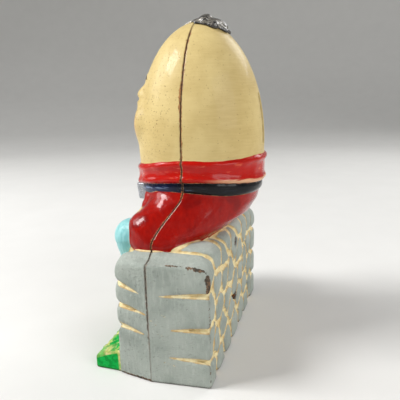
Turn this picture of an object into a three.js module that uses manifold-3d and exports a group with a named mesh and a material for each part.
// Egg-shaped figure sitting on a stone wall: a cast-iron mechanical coin bank.
// Millimetres, +Z up. The wall runs along X and the figure faces -Y.
// The origin is the middle of the foot, on the surface that the bank stands on.
import * as THREE from 'three';
import { mergeVertices } from 'three/addons/utils/BufferGeometryUtils.js';
import Module from 'manifold-3d';

const wasm = await Module();
wasm.setup();

// ---- driving dimensions ------------------------------------------------
const FIT_GAP = 0.35; // clearance between neighbouring pieces
const SLIVER = 0.01; // edges shorter than this, left by the cuts, are closed up
const CAST = 3.8; // thickness of the castings
const EGG_Y = 4; // the egg stands on this line, X = 0
const EGG_TOP = 215;
const HEAD_RADIUS = 42.4;

const WALL_HALF_X = 70; // half length at the front and back faces
const WALL_PARTING_HALF_X = 73.5; // half length at the parting line, from casting draft
const WALL_HALF_Y = 28.8;
const WALL_TOP = 79;
const PARTING_Y = -8.7; // the castings meet here on the wall

const COLLAR_RADIUS = 44.1;
const COLLAR_Z = 129;
const BELT_RADIUS = 41.6;
const BAND_INNER = 38; // the belt and the collar are rooted this deep in the egg
const GRASS_FRONT_Y = -(EGG_Y + COLLAR_RADIUS);
const GRASS_HALF_X = 69;
const KNEE = [44.5, -18.5, 86.5];
const SHIN_TOP = [45, -29.9, 82.6];
const ANKLE = [40.8, -33.4, 41];
const TOE = [40.2, -35.6, 31];
const CUFF = [30.7, -22.8, 99];
const WRIST = [32.6, -24.4, 96.4];
const FINGERS = [35, -35, 87];

const COIN_DIAMETER = 30.6;
const SLOT_WIDTH = 4.6;
const SLOT_LOW = 137.5;
const SLOT_HIGH = SLOT_LOW + COIN_DIAMETER + 1.9;

const ASSEMBLY_SCREW_X = 3.5;
const ASSEMBLY_SCREW_HEIGHTS = { upper: 70, lower: 29 };
const ASSEMBLY_SCREW_RADIUS = 2.2;
const ASSEMBLY_HEAD_RADIUS = 3;
const ASSEMBLY_HEAD_DEPTH = 2.4;
const ASSEMBLY_BOSS_RADIUS = 6;

const PLATE_BOTTOM = 4; // the base plate is recessed above the foot
const PLATE_TOP = 6;
const PLATE_HALF_X = 64.6;
const PLATE_HALF_Y = 24.5;
const PLATE_SCREW_X = 57;
const PLATE_SCREW_Y = 20.2;
const PLATE_SCREW_RADIUS = 1.6;

const TRAP_X = -22;
const TRAP_HOLE_RADIUS = 17;
const TRAP_LENGTH = 44;
const TRAP_HALF_WIDTH = 19;
const TRAP_TOP = PLATE_BOTTOM - FIT_GAP;
const TRAP_THICKNESS = 1.5;
const GUIDE_BOTTOM = 0.7;
const GUIDE_RIVET_RADIUS = 1.2;

const LEVER_Y = 2; // pivot of the coin lever
const LEVER_Z = 112;
const LEVER_HALF_THICKNESS = 1.2;
const LEVER_PIN_RADIUS = 1.5;
const LINK_Y = -19.5; // the link stands here
const LINK_LOW = 114;
const LINK_PIN_RADIUS = 1.2;
const LINK_PIN_PLAY = 1.3; // slack round the pin at the link's upper end
const STOP_PIN = [-4.5, 107.7]; // [y, z]
const STOP_PIN_RADIUS = 1.2;
const COUNTERWEIGHT = [-13.2, 113]; // [y, z]
const COUNTERWEIGHT_RADIUS = 4.4;
const COUNTERWEIGHT_LENGTH = 11;
const COUNTERWEIGHT_RIVET_RADIUS = 1.5;

const EYE_Y = -26.6; // axle of the eyes
const EYE_Z = 168;
const EYE_X = 13.4;
const EYE_RADIUS = 7.1;
const EYE_AXLE_RADIUS = 1.6;
const BRACKET_SCREW_Z = 154;
const BRACKET_SCREW_RADIUS = 1.6;
const EAR_INNER = 4.3; // the bracket's ears, distances from the middle
const EAR_OUTER = 5.5;
const BRACKET_FRONT_Y = -26.4;
const BRACKET_BACK_Y = -25.2;

const CHUTE_INNER = 2.9; // half distance between the chute plates
const CHUTE_OUTER = 4.1;
const CHUTE_SCREWS = [[35.5, 131], [30.5, 173.5]];
const CHUTE_SCREW_RADIUS = 1.6;

const HAIR_Y = 10;
const HAIR_TOP = 219;
const HAIR_STEM_RADIUS = 2.2;

// ---- materials ---------------------------------------------------------
const surface = (color, roughness, metalness) =>
  new THREE.MeshStandardMaterial({ color, roughness, metalness });
const materials = {
  frontPaint: surface(0xd9c69a, 0.4, 0.1),
  rearPaint: surface(0xcdb98c, 0.4, 0.1),
  black: surface(0x16171a, 0.3, 0.2),
  white: surface(0xf1ece0, 0.25, 0),
  iron: surface(0x3a3734, 0.6, 0.8),
  steel: surface(0x8b8d90, 0.4, 1),
  darkSteel: surface(0x4c4a48, 0.45, 0.9),
  brass: surface(0xb08d4a, 0.35, 1),
};

// ---- solids ------------------------------------------------------------
function toSolid(geometry) {
  const bare = geometry.clone();
  bare.deleteAttribute('normal');
  bare.deleteAttribute('uv');
  const merged = mergeVertices(bare, 1e-4);
  return new wasm.Manifold(new wasm.Mesh({
    numProp: 3,
    vertProperties: new Float32Array(merged.attributes.position.array),
    triVerts: new Uint32Array(merged.index.array),
  }));
}

const group = new THREE.Group();

function addNode(name, solid, material) {
  const { vertProperties, triVerts } = solid.simplify(SLIVER).getMesh();
  const geometry = new THREE.BufferGeometry();
  geometry.setAttribute('position', new THREE.BufferAttribute(vertProperties, 3));
  geometry.setIndex(new THREE.BufferAttribute(triVerts, 1));
  geometry.computeVertexNormals();
  const mesh = new THREE.Mesh(geometry, material);
  mesh.name = name;
  group.add(mesh);
}

const join = (first, ...rest) => rest.reduce((sum, next) => sum.add(next), first);
const cut = (first, ...rest) => rest.reduce((left, next) => left.subtract(next), first);

function box([x0, x1], [y0, y1], [z0, z1]) {
  const geometry = new THREE.BoxGeometry(x1 - x0, y1 - y0, z1 - z0);
  geometry.translate((x0 + x1) / 2, (y0 + y1) / 2, (z0 + z1) / 2);
  return toSolid(geometry);
}

// A round bar along one axis, between two places on it. The other two
// coordinates of its line are given in the order X, Y, Z.
function bar(axis, [from, to], [a, b], radius, sides = 16) {
  const geometry = new THREE.CylinderGeometry(radius, radius, to - from, sides);
  const middle = (from + to) / 2;
  if (axis === 'x') geometry.rotateZ(Math.PI / 2).translate(middle, a, b);
  if (axis === 'y') geometry.translate(a, middle, b);
  if (axis === 'z') geometry.rotateX(Math.PI / 2).translate(a, b, middle);
  return toSolid(geometry);
}

function ellipsoid([x, y, z], [a, b, c], sides = 20) {
  const geometry = new THREE.SphereGeometry(1, sides, sides / 2);
  geometry.rotateX(Math.PI / 2).scale(a, b, c).translate(x, y, z);
  return toSolid(geometry);
}

// An outline drawn in the Y-Z plane, made thick along X.
function slabAlongX(points, [x0, x1], holes = []) {
  const shape = new THREE.Shape(points.map(([y, z]) => new THREE.Vector2(y, z)));
  for (const [y, z, radius] of holes) {
    shape.holes.push(new THREE.Path().absarc(y, z, radius, 0, 2 * Math.PI));
  }
  const geometry = new THREE.ExtrudeGeometry(shape, {
    depth: x1 - x0, bevelEnabled: false, curveSegments: 8,
  });
  geometry.rotateX(Math.PI / 2).rotateZ(Math.PI / 2).translate(x0, 0, 0);
  return toSolid(geometry);
}

// A closed or axis-to-axis profile of [radius, height] turned about the egg's line.
// lift moves each vertex up by an amount that depends on its angle from the front.
function turned(profile, sides = 32, lift = () => 0) {
  const points = profile.map(([radius, height]) => new THREE.Vector2(radius, height));
  const geometry = new THREE.LatheGeometry(points, sides);
  geometry.rotateX(Math.PI / 2);
  const place = geometry.attributes.position;
  for (let i = 0; i < place.count; i += 1) {
    const fromFront = Math.atan2(place.getX(i), -place.getY(i));
    place.setZ(i, place.getZ(i) + lift(fromFront));
  }
  geometry.translate(0, EGG_Y, 0);
  return toSolid(geometry);
}

// Ellipses stacked along a path, closed at both ends.
// Each ring is [centre x, centre y, centre z, half width in X, half depth in Y].
function stack(rings, sides = 24) {
  const positions = [];
  const index = [];
  for (const [x, y, z, a, b] of rings) {
    for (let i = 0; i < sides; i += 1) {
      const turn = (2 * Math.PI * i) / sides;
      positions.push(x + a * Math.cos(turn), y + b * Math.sin(turn), z);
    }
  }
  const last = rings.length - 1;
  for (let ring = 0; ring < last; ring += 1) {
    for (let i = 0; i < sides; i += 1) {
      const next = (i + 1) % sides;
      const low = ring * sides;
      const high = low + sides;
      index.push(low + i, low + next, high + next, low + i, high + next, high + i);
    }
  }
  const bottom = positions.length / 3;
  positions.push(...rings[0].slice(0, 3), ...rings[last].slice(0, 3));
  for (let i = 0; i < sides; i += 1) {
    const next = (i + 1) % sides;
    index.push(bottom, next, i, bottom + 1, last * sides + i, last * sides + next);
  }
  const geometry = new THREE.BufferGeometry();
  geometry.setAttribute('position', new THREE.Float32BufferAttribute(positions, 3));
  geometry.setIndex(index);
  return toSolid(geometry);
}

// A round limb between two points, thicker or thinner at each end, with domed ends.
function limb(from, to, radiusFrom, radiusTo, sides = 12) {
  const start = new THREE.Vector3(...from);
  const along = new THREE.Vector3(...to).sub(start);
  const dome = (radius, place, turns) => turns.map((turn) => (
    new THREE.Vector2(radius * Math.cos(turn), place + radius * Math.sin(turn))));
  const quarter = Math.PI / 2;
  const profile = [
    new THREE.Vector2(0, -radiusFrom),
    ...dome(radiusFrom, 0, [-quarter * 0.67, -quarter * 0.33, 0]),
    ...dome(radiusTo, along.length(), [0, quarter * 0.33, quarter * 0.67]),
    new THREE.Vector2(0, along.length() + radiusTo),
  ];
  const geometry = new THREE.LatheGeometry(profile, sides);
  const up = new THREE.Vector3(0, 1, 0);
  geometry.applyQuaternion(new THREE.Quaternion().setFromUnitVectors(up, along.normalize()));
  return toSolid(geometry.translate(...from));
}

const mirrored = (solid) => solid.mirror([1, 0, 0]);
const bothSides = (solid) => join(solid, mirrored(solid));

// ---- outer form --------------------------------------------------------
// Radius and height of the egg, from the seat to the crown.
const eggProfile = [
  [24, 80], [32.5, 92.8], [37.9, 101.6], [39.8, 108], [40.9, 116], [41.9, 127], [HEAD_RADIUS, 139],
  [41.7, 152.4], [40, 163.5], [38, 173], [34.9, 182.4], [31.1, 191], [25.8, 200], [20, 205.9],
  [13.2, 210.6], [6.4, 213.8],
];

function egg(inset) {
  const skin = eggProfile.map(([radius, height]) => {
    const lean = Math.max(0, (height - COLLAR_Z) / (EGG_TOP - COLLAR_Z)) ** 1.5;
    return [radius - inset * Math.sqrt(1 - lean ** 2), height - inset * lean];
  });
  const low = skin[0][1];
  const crown = EGG_TOP - inset;
  return turned([[0, low], ...skin, [0, crown]], inset > 0 ? 20 : 32);
}

// The belt and the collar rise at the sides and dip at the front.
const beltLift = (angle) => -5.5 * Math.cos(angle) ** 2 - 1.7 * Math.cos(angle);
const collarLift = (angle) => -7 * Math.max(0, Math.cos(angle)) ** 2;

const belt = () => turned([
  [BAND_INNER, 111.5], [BELT_RADIUS - 0.6, 111.5], [BELT_RADIUS, 113], [BELT_RADIUS, 116.8],
  [BELT_RADIUS - 0.6, 118.4], [BAND_INNER, 118.4], [BAND_INNER, 111.5],
], 32, beltLift);

const collar = () => turned([
  [BAND_INNER, 120], [43, 120.5], [42.5, 124], [COLLAR_RADIUS, 127.3], [COLLAR_RADIUS, 131.3],
  [42, 132.6], [BAND_INNER, 132.6], [BAND_INNER, 120],
], 32, collarLift);

const buckle = () => box([-8, 8], [-41.9, -34], [103.4, 110.6]);
const nose = () => ellipsoid([0, -37.2, 159.5], [4.8, 6.6, 7.4], 16);

// Hips and thighs rest on the wall; the shins and shoes hang in front of it.
const hips = (inset) => stack([
  [0, -2.8, 74, 50 - inset, 20 - inset],
  [0, -2.8, 79.5, 51 - inset, 21.2 - inset],
  [0, 0.5, 88, 50 - inset, 29 - inset],
  [0, 2.5, 97, 45.5 - inset, 35 - inset],
  [0, 4, 107 - inset, 40 - inset, 38 - inset],
]);
const thigh = (inset) => limb([27, 0, 95], KNEE, 19.5 - inset, 15.3 - inset, 16);
const shin = () => limb(SHIN_TOP, ANKLE, 11, 7.2);
const shoe = () => ellipsoid(TOE, [7.4, 8.8, 7.6], 12);
const hand = () => limb(WRIST, FINGERS, 4.6, 3.2);
const sleeve = () => limb([25, -22.8, 104.5], CUFF, 6, 5.6);

// The wall is what three outlines have in common: its plan, its end and its front.
const slabUp = (points, [z0, z1]) => {
  const shape = new THREE.Shape(points.map(([x, y]) => new THREE.Vector2(x, y)));
  const geometry = new THREE.ExtrudeGeometry(shape, { depth: z1 - z0, bevelEnabled: false });
  return toSolid(geometry.translate(0, 0, z0));
};
const bothEnds = (half) => half.concat(half.map(([x, other]) => [-x, other]).reverse());

function wall(inset, bottom) {
  const plan = bothEnds([
    [WALL_HALF_X - inset, WALL_HALF_Y - inset],
    [WALL_PARTING_HALF_X - inset, PARTING_Y],
    [WALL_HALF_X - inset, -WALL_HALF_Y + inset],
  ]);
  if (inset > 0) return slabUp(plan, [bottom, WALL_TOP - inset]);
  const lengthways = (points, [y0, y1]) => {
    const shape = new THREE.Shape(points.map(([x, z]) => new THREE.Vector2(x, z)));
    const geometry = new THREE.ExtrudeGeometry(shape, { depth: y1 - y0, bevelEnabled: false });
    return toSolid(geometry.rotateX(Math.PI / 2).translate(0, y1, 0));
  };
  const topStones = [
    [74, -1], [74, 73.5], [70, 77.5], [65, 79], [57, 81.5], [47, 80.5], [36, 84.5], [22, 82.5],
    [10, 84], [-6, 81], [-28, 81.5], [-42, 79.5], [-57, 81.5], [-65, 79], [-70, 77.5], [-74, 73.5],
    [-74, -1],
  ];
  const end = [
    [-30, -1], [30, -1], [30, 74], [27.5, 78.5], [23, 81.5], [10, 85], [-10, 85], [-23, 81.5],
    [-27, 79], [-30, 73.5],
  ];
  return slabUp(plan, [bottom, 90])
    .intersect(lengthways(topStones, [-40, 40]))
    .intersect(slabAlongX(end, [-80, 80]));
}

function grass() {
  const bank = slabAlongX([
    [GRASS_FRONT_Y, 0], [-WALL_HALF_Y + 1, 0], [-WALL_HALF_Y + 1, 16], [-36, 13],
    [-43, 10.6], [GRASS_FRONT_Y + 1, 8.2], [GRASS_FRONT_Y, 6],
  ], [-GRASS_HALF_X, GRASS_HALF_X]);
  const underside = slabAlongX([
    [GRASS_FRONT_Y + 3.5, -1], [-WALL_HALF_Y - 0.5, -1], [-WALL_HALF_Y - 0.5, 11],
    [-40, 7.5], [GRASS_FRONT_Y + 3.5, 4.5],
  ], [-GRASS_HALF_X + 4, GRASS_HALF_X - 4]);
  return cut(bank, underside);
}

// ---- the two castings --------------------------------------------------
// The parting surface in the Y-Z plane, from the foot to above the crown.
const partingLine = [
  [PARTING_Y, -5], [PARTING_Y, 79.5], [-10, 86], [-7, 92], [-3, 98], [2.5, 106], [EGG_Y, 112],
  [EGG_Y, 240],
];

function halfSpace(side) {
  const line = partingLine.map(([y, z]) => [y + (side * FIT_GAP) / 2, z]);
  const far = 80 * side;
  const outline = [...line, [far, 240], [far, -5]];
  return slabAlongX(side > 0 ? outline.reverse() : outline, [-100, 100]);
}

const outerForm = join(
  wall(0, 0), egg(0), hips(0), bothSides(thigh(0)), belt(), collar(), buckle(), nose(),
  bothSides(shin()), bothSides(shoe()), bothSides(hand()), bothSides(sleeve()), grass(),
);
const hollow = join(
  wall(CAST, -1), egg(CAST), hips(CAST + 0.6), bothSides(thigh(CAST)),
  bar('z', [60, 90], [0, EGG_Y - 3], 19, 24),
);
const shell = cut(outerForm, hollow);

const assemblyHeights = Object.values(ASSEMBLY_SCREW_HEIGHTS);
const frontWallInside = -WALL_HALF_Y + CAST;
const rearWallInside = WALL_HALF_Y - CAST;

function plateBosses(side) {
  const boss = bar('z', [PLATE_TOP + FIT_GAP, 22], [PLATE_SCREW_X, side * PLATE_SCREW_Y], 5.6);
  return bothSides(boss);
}

function plateScrewHoles(side) {
  const place = [PLATE_SCREW_X, side * PLATE_SCREW_Y];
  return bothSides(bar('z', [0, 17], place, PLATE_SCREW_RADIUS + FIT_GAP, 12));
}

function frontCasting() {
  const screwBosses = assemblyHeights.map((z) => (
    bar('y', [frontWallInside - 1, PARTING_Y - 0.6], [ASSEMBLY_SCREW_X, z], ASSEMBLY_BOSS_RADIUS)));
  const screwHoles = assemblyHeights.map((z) => (
    bar('y', [-23, 0], [ASSEMBLY_SCREW_X, z], ASSEMBLY_SCREW_RADIUS + FIT_GAP)));
  const bracketPad = bar('y', [-34.5, BRACKET_FRONT_Y - 0.4], [0, BRACKET_SCREW_Z], 3.8);
  const bracketHole = bar('y', [-31.5, -20], [0, BRACKET_SCREW_Z],
    BRACKET_SCREW_RADIUS + FIT_GAP, 12);
  const eyeHole = ellipsoid([EYE_X, EYE_Y, EYE_Z],
    [EYE_RADIUS + 0.7, EYE_RADIUS + 0.7, EYE_RADIUS + 0.7], 16);
  const pocketHalf = EAR_OUTER + 0.7;
  const crankPocket = box([-pocketHalf, pocketHalf], [EYE_Y - 4.3, EYE_Y + 6.6],
    [EYE_Z - 7.5, EYE_Z + 7]);
  const filled = join(shell.intersect(halfSpace(-1)), ...screwBosses, plateBosses(-1), bracketPad);
  return cut(filled, ...screwHoles, plateScrewHoles(-1), bracketHole, bothSides(eyeHole),
    crankPocket);
}

function rearCasting() {
  const screwPads = assemblyHeights.map((z) => (
    bar('y', [rearWallInside - 4, rearWallInside + 1], [ASSEMBLY_SCREW_X, z],
      ASSEMBLY_BOSS_RADIUS)));
  const screwHoles = assemblyHeights.flatMap((z) => [
    bar('y', [0, 40], [ASSEMBLY_SCREW_X, z], ASSEMBLY_SCREW_RADIUS + FIT_GAP),
    bar('y', [WALL_HALF_Y - ASSEMBLY_HEAD_DEPTH, 40], [ASSEMBLY_SCREW_X, z],
      ASSEMBLY_HEAD_RADIUS + FIT_GAP),
  ]);
  const slot = box([-SLOT_WIDTH / 2, SLOT_WIDTH / 2], [30, 60], [SLOT_LOW, SLOT_HIGH]);
  const lugs = CHUTE_SCREWS.map(([y, z]) => {
    const lug = box([CHUTE_OUTER + FIT_GAP, CHUTE_OUTER + 4.5], [y - 3.5, y + 6.5], [z - 4, z + 4]);
    return bothSides(lug);
  });
  const lugHoles = CHUTE_SCREWS.map((place) => (
    bar('x', [-12, 12], place, CHUTE_SCREW_RADIUS + FIT_GAP, 12)));
  const stemHole = bar('z', [200, 225], [0, HAIR_Y], HAIR_STEM_RADIUS + FIT_GAP);
  const filled = join(shell.intersect(halfSpace(1)), ...screwPads, plateBosses(1),
    ...lugs.map((lug) => lug.intersect(egg(CAST / 2))));
  return cut(filled, ...screwHoles, plateScrewHoles(1), slot, ...lugHoles, stemHole);
}

// ---- hair tuft ---------------------------------------------------------
function hairTuft() {
  const tuft = join(
    ellipsoid([0, HAIR_Y, HAIR_TOP - 8], [14, 13, 8], 20),
    ellipsoid([0, HAIR_Y - 8, HAIR_TOP - 7.5], [8, 7, 4], 12),
    ellipsoid([4, HAIR_Y + 9, HAIR_TOP - 10.5], [8, 6, 4.5], 12),
  );
  const seat = turned([[0, 190], ...eggProfile.slice(-5).map(([r, z]) => [r + 0.3, z + 0.3]),
    [0, EGG_TOP + 0.35]], 32);
  const stem = bar('z', [202, HAIR_TOP - 4], [0, HAIR_Y], HAIR_STEM_RADIUS, 12);
  return join(cut(tuft, seat, box([-30, 30], [-20, 40], [190, 206])), stem);
}

function hairNut() {
  const nut = new THREE.CylinderGeometry(4, 4, 3, 6).rotateX(Math.PI / 2);
  nut.translate(0, HAIR_Y, 205);
  return cut(toSolid(nut), bar('z', [200, 215], [0, HAIR_Y], HAIR_STEM_RADIUS + FIT_GAP, 12));
}

// ---- assembly and base screws -----------------------------------------
function assemblyScrew(z) {
  const headFace = WALL_HALF_Y - 0.4;
  const headBack = WALL_HALF_Y - ASSEMBLY_HEAD_DEPTH + FIT_GAP;
  const head = bar('y', [headBack, headFace], [ASSEMBLY_SCREW_X, z], ASSEMBLY_HEAD_RADIUS);
  const shank = bar('y', [-21, headBack + 0.5], [ASSEMBLY_SCREW_X, z], ASSEMBLY_SCREW_RADIUS, 12);
  const driverSlot = box([ASSEMBLY_SCREW_X - 4, ASSEMBLY_SCREW_X + 4],
    [headFace - 1, headFace + 1], [z - 0.5, z + 0.5]);
  return cut(join(head, shank), driverSlot);
}

function plateScrew(x, y) {
  const head = bar('z', [PLATE_BOTTOM - FIT_GAP - 1.6, PLATE_BOTTOM - FIT_GAP], [x, y], 3);
  const shank = bar('z', [PLATE_BOTTOM - FIT_GAP - 1, 16], [x, y], PLATE_SCREW_RADIUS, 12);
  const driverSlot = box([x - 4, x + 4], [y - 0.4, y + 0.4], [0, PLATE_BOTTOM - FIT_GAP - 0.9]);
  return cut(join(head, shank), driverSlot);
}

// ---- base plate and coin trap -----------------------------------------
const guideRivetPlaces = [-42, 36].flatMap((x) => [[x, -22], [x, 22]]);

function basePlate() {
  const plate = box([-PLATE_HALF_X, PLATE_HALF_X], [-PLATE_HALF_Y, PLATE_HALF_Y],
    [PLATE_BOTTOM, PLATE_TOP]);
  const trapHole = bar('z', [0, 10], [TRAP_X, 0], TRAP_HOLE_RADIUS, 32);
  const screwHoles = [-1, 1].flatMap((sx) => [-1, 1].map((sy) => (
    bar('z', [0, 10], [sx * PLATE_SCREW_X, sy * PLATE_SCREW_Y], PLATE_SCREW_RADIUS + FIT_GAP, 12))));
  const rivetHoles = guideRivetPlaces.map((place) => (
    bar('z', [0, 10], place, GUIDE_RIVET_RADIUS + FIT_GAP, 10)));
  return cut(plate, trapHole, ...screwHoles, ...rivetHoles);
}

function trapCover() {
  const x0 = TRAP_X - TRAP_LENGTH / 2;
  const x1 = TRAP_X + TRAP_LENGTH / 2;
  const low = TRAP_TOP - TRAP_THICKNESS;
  const cover = box([x0, x1], [-TRAP_HALF_WIDTH, TRAP_HALF_WIDTH], [low, TRAP_TOP]);
  const fingerRib = box([x0 + 3, x0 + 5], [-10, 10], [low - 1.2, low + 0.2]);
  return join(cover, fingerRib);
}

// A guide is a strip with a step: one side is riveted to the plate, the other
// runs under the edge of the cover.
function trapGuide(side) {
  const x = [-47, 41];
  const inner = TRAP_HALF_WIDTH - 1.6;
  const step = TRAP_HALF_WIDTH + FIT_GAP;
  const ledgeTop = TRAP_TOP - TRAP_THICKNESS - FIT_GAP;
  const range = (a, b) => (side > 0 ? [a, b] : [-b, -a]);
  const guide = join(
    box(x, range(inner, PLATE_HALF_Y - 0.4), [GUIDE_BOTTOM, ledgeTop]),
    box(x, range(step, PLATE_HALF_Y - 0.4), [GUIDE_BOTTOM, TRAP_TOP]),
  );
  const holes = guideRivetPlaces.filter(([, y]) => y * side > 0)
    .flatMap((place) => [
      bar('z', [0, 10], place, GUIDE_RIVET_RADIUS + FIT_GAP, 10),
      bar('z', [0, GUIDE_BOTTOM + 1.2], place, GUIDE_RIVET_RADIUS + 1, 10),
    ]);
  return cut(guide, ...holes);
}

function guideRivet([x, y]) {
  const shank = bar('z', [GUIDE_BOTTOM + 0.3, PLATE_TOP + FIT_GAP + 0.5], [x, y],
    GUIDE_RIVET_RADIUS, 10);
  const head = bar('z', [PLATE_TOP + FIT_GAP, PLATE_TOP + FIT_GAP + 1.1], [x, y],
    GUIDE_RIVET_RADIUS + 1.1, 10);
  return join(shank, head);
}

// ---- coin chute --------------------------------------------------------
function chutePlate(side) {
  const outline = [
    [39, 127], [40.6, 134], [40.2, 150], [38.2, 164], [33, 178.5], [27, 178.5], [20, 160],
    [9, 140], [-2, 120], [-7.4, 117], [-7.4, 104], [8, 104], [20, 122], [31, 127],
  ];
  const x = side > 0 ? [CHUTE_INNER, CHUTE_OUTER] : [-CHUTE_OUTER, -CHUTE_INNER];
  const holes = [
    ...CHUTE_SCREWS.map(([y, z]) => [y, z, CHUTE_SCREW_RADIUS + FIT_GAP]),
    [LEVER_Y, LEVER_Z, LEVER_PIN_RADIUS + FIT_GAP],
    [...STOP_PIN, STOP_PIN_RADIUS + FIT_GAP],
  ];
  return slabAlongX(outline, x, holes);
}

function chuteScrew([y, z]) {
  const end = CHUTE_OUTER + 4.5 + FIT_GAP;
  return join(
    bar('x', [-end, end + 2.2], [y, z], CHUTE_SCREW_RADIUS, 12),
    bar('x', [end, end + 2.2], [y, z], 3),
  );
}

// A strip between the chute plates that carries the coin from the slot to the lever.
function chuteFloor() {
  return slabAlongX([[40, 135.6], [29, 133.6], [29, 135], [40, 137]],
    [-CHUTE_INNER + FIT_GAP, CHUTE_INNER - FIT_GAP]);
}

// ---- coin lever --------------------------------------------------------
const leverX = [-LEVER_HALF_THICKNESS, LEVER_HALF_THICKNESS];

function coinLever() {
  const arm = slabAlongX([
    [LINK_Y - 2.6, LINK_LOW - 2.2], [LINK_Y + 2, LINK_LOW - 2.6], [-8, 109.6], [LEVER_Y, 108.6],
    [10, 110.2], [33, 112.6], [34.2, 116.4], [31.5, 114.6], [10, 114.2], [LEVER_Y, 115.6],
    [-8, 114.4], [LINK_Y + 2, LINK_LOW + 2.6], [LINK_Y - 2.6, LINK_LOW + 2.2],
  ], leverX, [
    [LEVER_Y, LEVER_Z, LEVER_PIN_RADIUS + FIT_GAP],
    [...COUNTERWEIGHT, COUNTERWEIGHT_RIVET_RADIUS + FIT_GAP],
  ]);
  return join(arm, bar('x', [-4, -1], [LINK_Y, LINK_LOW], LINK_PIN_RADIUS, 12));
}

function leverPivotPin() {
  const end = CHUTE_OUTER + FIT_GAP;
  return join(
    bar('x', [-end - 1, end + 1.2], [LEVER_Y, LEVER_Z], LEVER_PIN_RADIUS, 12),
    bar('x', [end, end + 1.2], [LEVER_Y, LEVER_Z], LEVER_PIN_RADIUS + 1.2, 12),
  );
}

const stopPin = () => bar('x', [-CHUTE_OUTER - 0.8, CHUTE_OUTER + 0.8], STOP_PIN, STOP_PIN_RADIUS, 12);

function counterweight() {
  const x0 = LEVER_HALF_THICKNESS + FIT_GAP;
  return cut(
    bar('x', [x0, x0 + COUNTERWEIGHT_LENGTH], COUNTERWEIGHT, COUNTERWEIGHT_RADIUS, 20),
    bar('x', [0, 20], COUNTERWEIGHT, COUNTERWEIGHT_RIVET_RADIUS + FIT_GAP, 12),
  );
}

function counterweightRivet() {
  const x0 = -LEVER_HALF_THICKNESS - FIT_GAP;
  const x1 = LEVER_HALF_THICKNESS + 2 * FIT_GAP + COUNTERWEIGHT_LENGTH;
  const headRadius = COUNTERWEIGHT_RIVET_RADIUS + 1.1;
  return join(
    bar('x', [x0 - 1, x1 + 1], COUNTERWEIGHT, COUNTERWEIGHT_RIVET_RADIUS, 12),
    bar('x', [x1, x1 + 1], COUNTERWEIGHT, headRadius, 12),
    bar('x', [x0 - 1, x0], COUNTERWEIGHT, headRadius, 12),
  );
}

// ---- link and eyes -----------------------------------------------------
function eyeLink() {
  const x = [-3.3, -1.7];
  const reach = 2.9;
  const outline = [
    [LINK_Y - reach, LINK_LOW - reach], [LINK_Y + reach, LINK_LOW - reach],
    [LINK_Y + reach, LINK_LOW + reach], [LINK_Y + 1.3, LINK_LOW + 6],
    [LINK_Y + 1.3, EYE_Z - 6], [LINK_Y + reach + 0.6, EYE_Z - reach],
    [LINK_Y + reach + 0.6, EYE_Z + reach], [LINK_Y - reach - 0.6, EYE_Z + reach],
    [LINK_Y - reach - 0.6, EYE_Z - reach], [LINK_Y - 1.3, EYE_Z - 6],
    [LINK_Y - 1.3, LINK_LOW + 6], [LINK_Y - reach, LINK_LOW + reach],
  ];
  return slabAlongX(outline, x, [
    [LINK_Y, LINK_LOW, LINK_PIN_RADIUS + FIT_GAP],
    [LINK_Y, EYE_Z, LINK_PIN_RADIUS + LINK_PIN_PLAY],
  ]);
}

const eyeAxle = () => bar('x', [-EYE_X - 3, EYE_X + 3], [EYE_Y, EYE_Z], EYE_AXLE_RADIUS, 12);

function eyeball(side) {
  return cut(
    ellipsoid([side * EYE_X, EYE_Y, EYE_Z], [EYE_RADIUS, EYE_RADIUS, EYE_RADIUS], 20),
    bar('x', [-30, 30], [EYE_Y, EYE_Z], EYE_AXLE_RADIUS + FIT_GAP, 12),
  );
}

function eyeCrank() {
  const hub = [EYE_Y, EYE_Z, EYE_AXLE_RADIUS + FIT_GAP];
  const arm = slabAlongX([
    [EYE_Y - 2.8, EYE_Z - 2], [EYE_Y, EYE_Z - 3.3], [LINK_Y + 2, EYE_Z - 2],
    [LINK_Y + 2, EYE_Z + 2], [EYE_Y, EYE_Z + 3.3], [EYE_Y - 2.8, EYE_Z + 2],
  ], leverX, [hub]);
  return join(arm, bar('x', [-3.9, -1], [LINK_Y, EYE_Z], LINK_PIN_RADIUS, 12));
}

function eyeBracket() {
  const web = box([-EAR_OUTER, EAR_OUTER], [BRACKET_FRONT_Y, BRACKET_BACK_Y],
    [BRACKET_SCREW_Z - 5.5, BRACKET_SCREW_Z + 6]);
  const ear = slabAlongX([
    [BRACKET_FRONT_Y, BRACKET_SCREW_Z - 2], [BRACKET_BACK_Y, BRACKET_SCREW_Z - 2],
    [EYE_Y + 3.3, EYE_Z - 6], [EYE_Y + 3.3, EYE_Z + 3.5], [EYE_Y - 3, EYE_Z + 3.5],
    [EYE_Y - 3, EYE_Z - 5],
  ], [EAR_INNER, EAR_OUTER], [[EYE_Y, EYE_Z, EYE_AXLE_RADIUS + FIT_GAP]]);
  const hole = bar('y', [-30, -20], [0, BRACKET_SCREW_Z], BRACKET_SCREW_RADIUS + FIT_GAP, 12);
  return cut(join(web, bothSides(ear)), hole);
}

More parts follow.
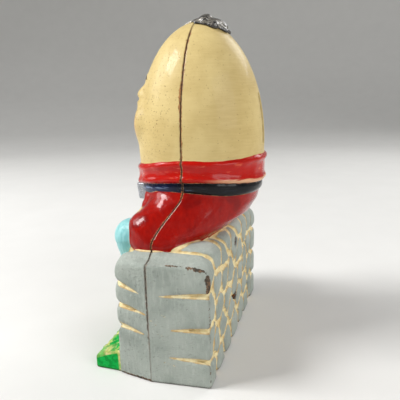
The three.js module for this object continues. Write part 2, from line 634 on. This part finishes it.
function bracketScrew() {
  return join(
    bar('y', [-30.5, -24], [0, BRACKET_SCREW_Z], BRACKET_SCREW_RADIUS, 12),
    bar('y', [BRACKET_BACK_Y + FIT_GAP, BRACKET_BACK_Y + 2], [0, BRACKET_SCREW_Z],
      BRACKET_SCREW_RADIUS + 1.4),
  );
}

// ---- the bank ----------------------------------------------------------
addNode('front_casting', frontCasting(), materials.frontPaint);
addNode('rear_casting', rearCasting(), materials.rearPaint);
addNode('hair_tuft', hairTuft(), materials.black);
addNode('hair_tuft_nut', hairNut(), materials.darkSteel);
for (const [name, z] of Object.entries(ASSEMBLY_SCREW_HEIGHTS)) {
  addNode(`assembly_screw_${name}`, assemblyScrew(z), materials.darkSteel);
}

addNode('base_plate', basePlate(), materials.iron);
for (const [end, sx] of [['left', 1], ['right', -1]]) {
  for (const [row, sy] of [['front', -1], ['rear', 1]]) {
    addNode(`base_plate_screw_${row}_${end}`, plateScrew(sx * PLATE_SCREW_X, sy * PLATE_SCREW_Y),
      materials.darkSteel);
  }
}
addNode('coin_trap_cover', trapCover(), materials.steel);
addNode('trap_guide_front', trapGuide(-1), materials.iron);
addNode('trap_guide_rear', trapGuide(1), materials.iron);
guideRivetPlaces.forEach((place, i) => {
  addNode(`trap_guide_rivet_${i + 1}`, guideRivet(place), materials.darkSteel);
});

addNode('chute_plate_left', chutePlate(1), materials.steel);
addNode('chute_plate_right', chutePlate(-1), materials.steel);
addNode('chute_floor', chuteFloor(), materials.steel);
addNode('chute_screw_lower', chuteScrew(CHUTE_SCREWS[0]), materials.darkSteel);
addNode('chute_screw_upper', chuteScrew(CHUTE_SCREWS[1]), materials.darkSteel);

addNode('coin_lever', coinLever(), materials.iron);
addNode('lever_pivot_pin', leverPivotPin(), materials.steel);
addNode('lever_stop_pin', stopPin(), materials.steel);
addNode('counterweight', counterweight(), materials.iron);
addNode('counterweight_rivet', counterweightRivet(), materials.steel);
addNode('eye_link', eyeLink(), materials.steel);

addNode('eye_axle', eyeAxle(), materials.steel);
addNode('eye_left', eyeball(1), materials.white);
addNode('eye_right', eyeball(-1), materials.white);
addNode('eye_crank', eyeCrank(), materials.brass);
addNode('eye_bracket', eyeBracket(), materials.steel);
addNode('eye_bracket_screw', bracketScrew(), materials.darkSteel);

export default group;
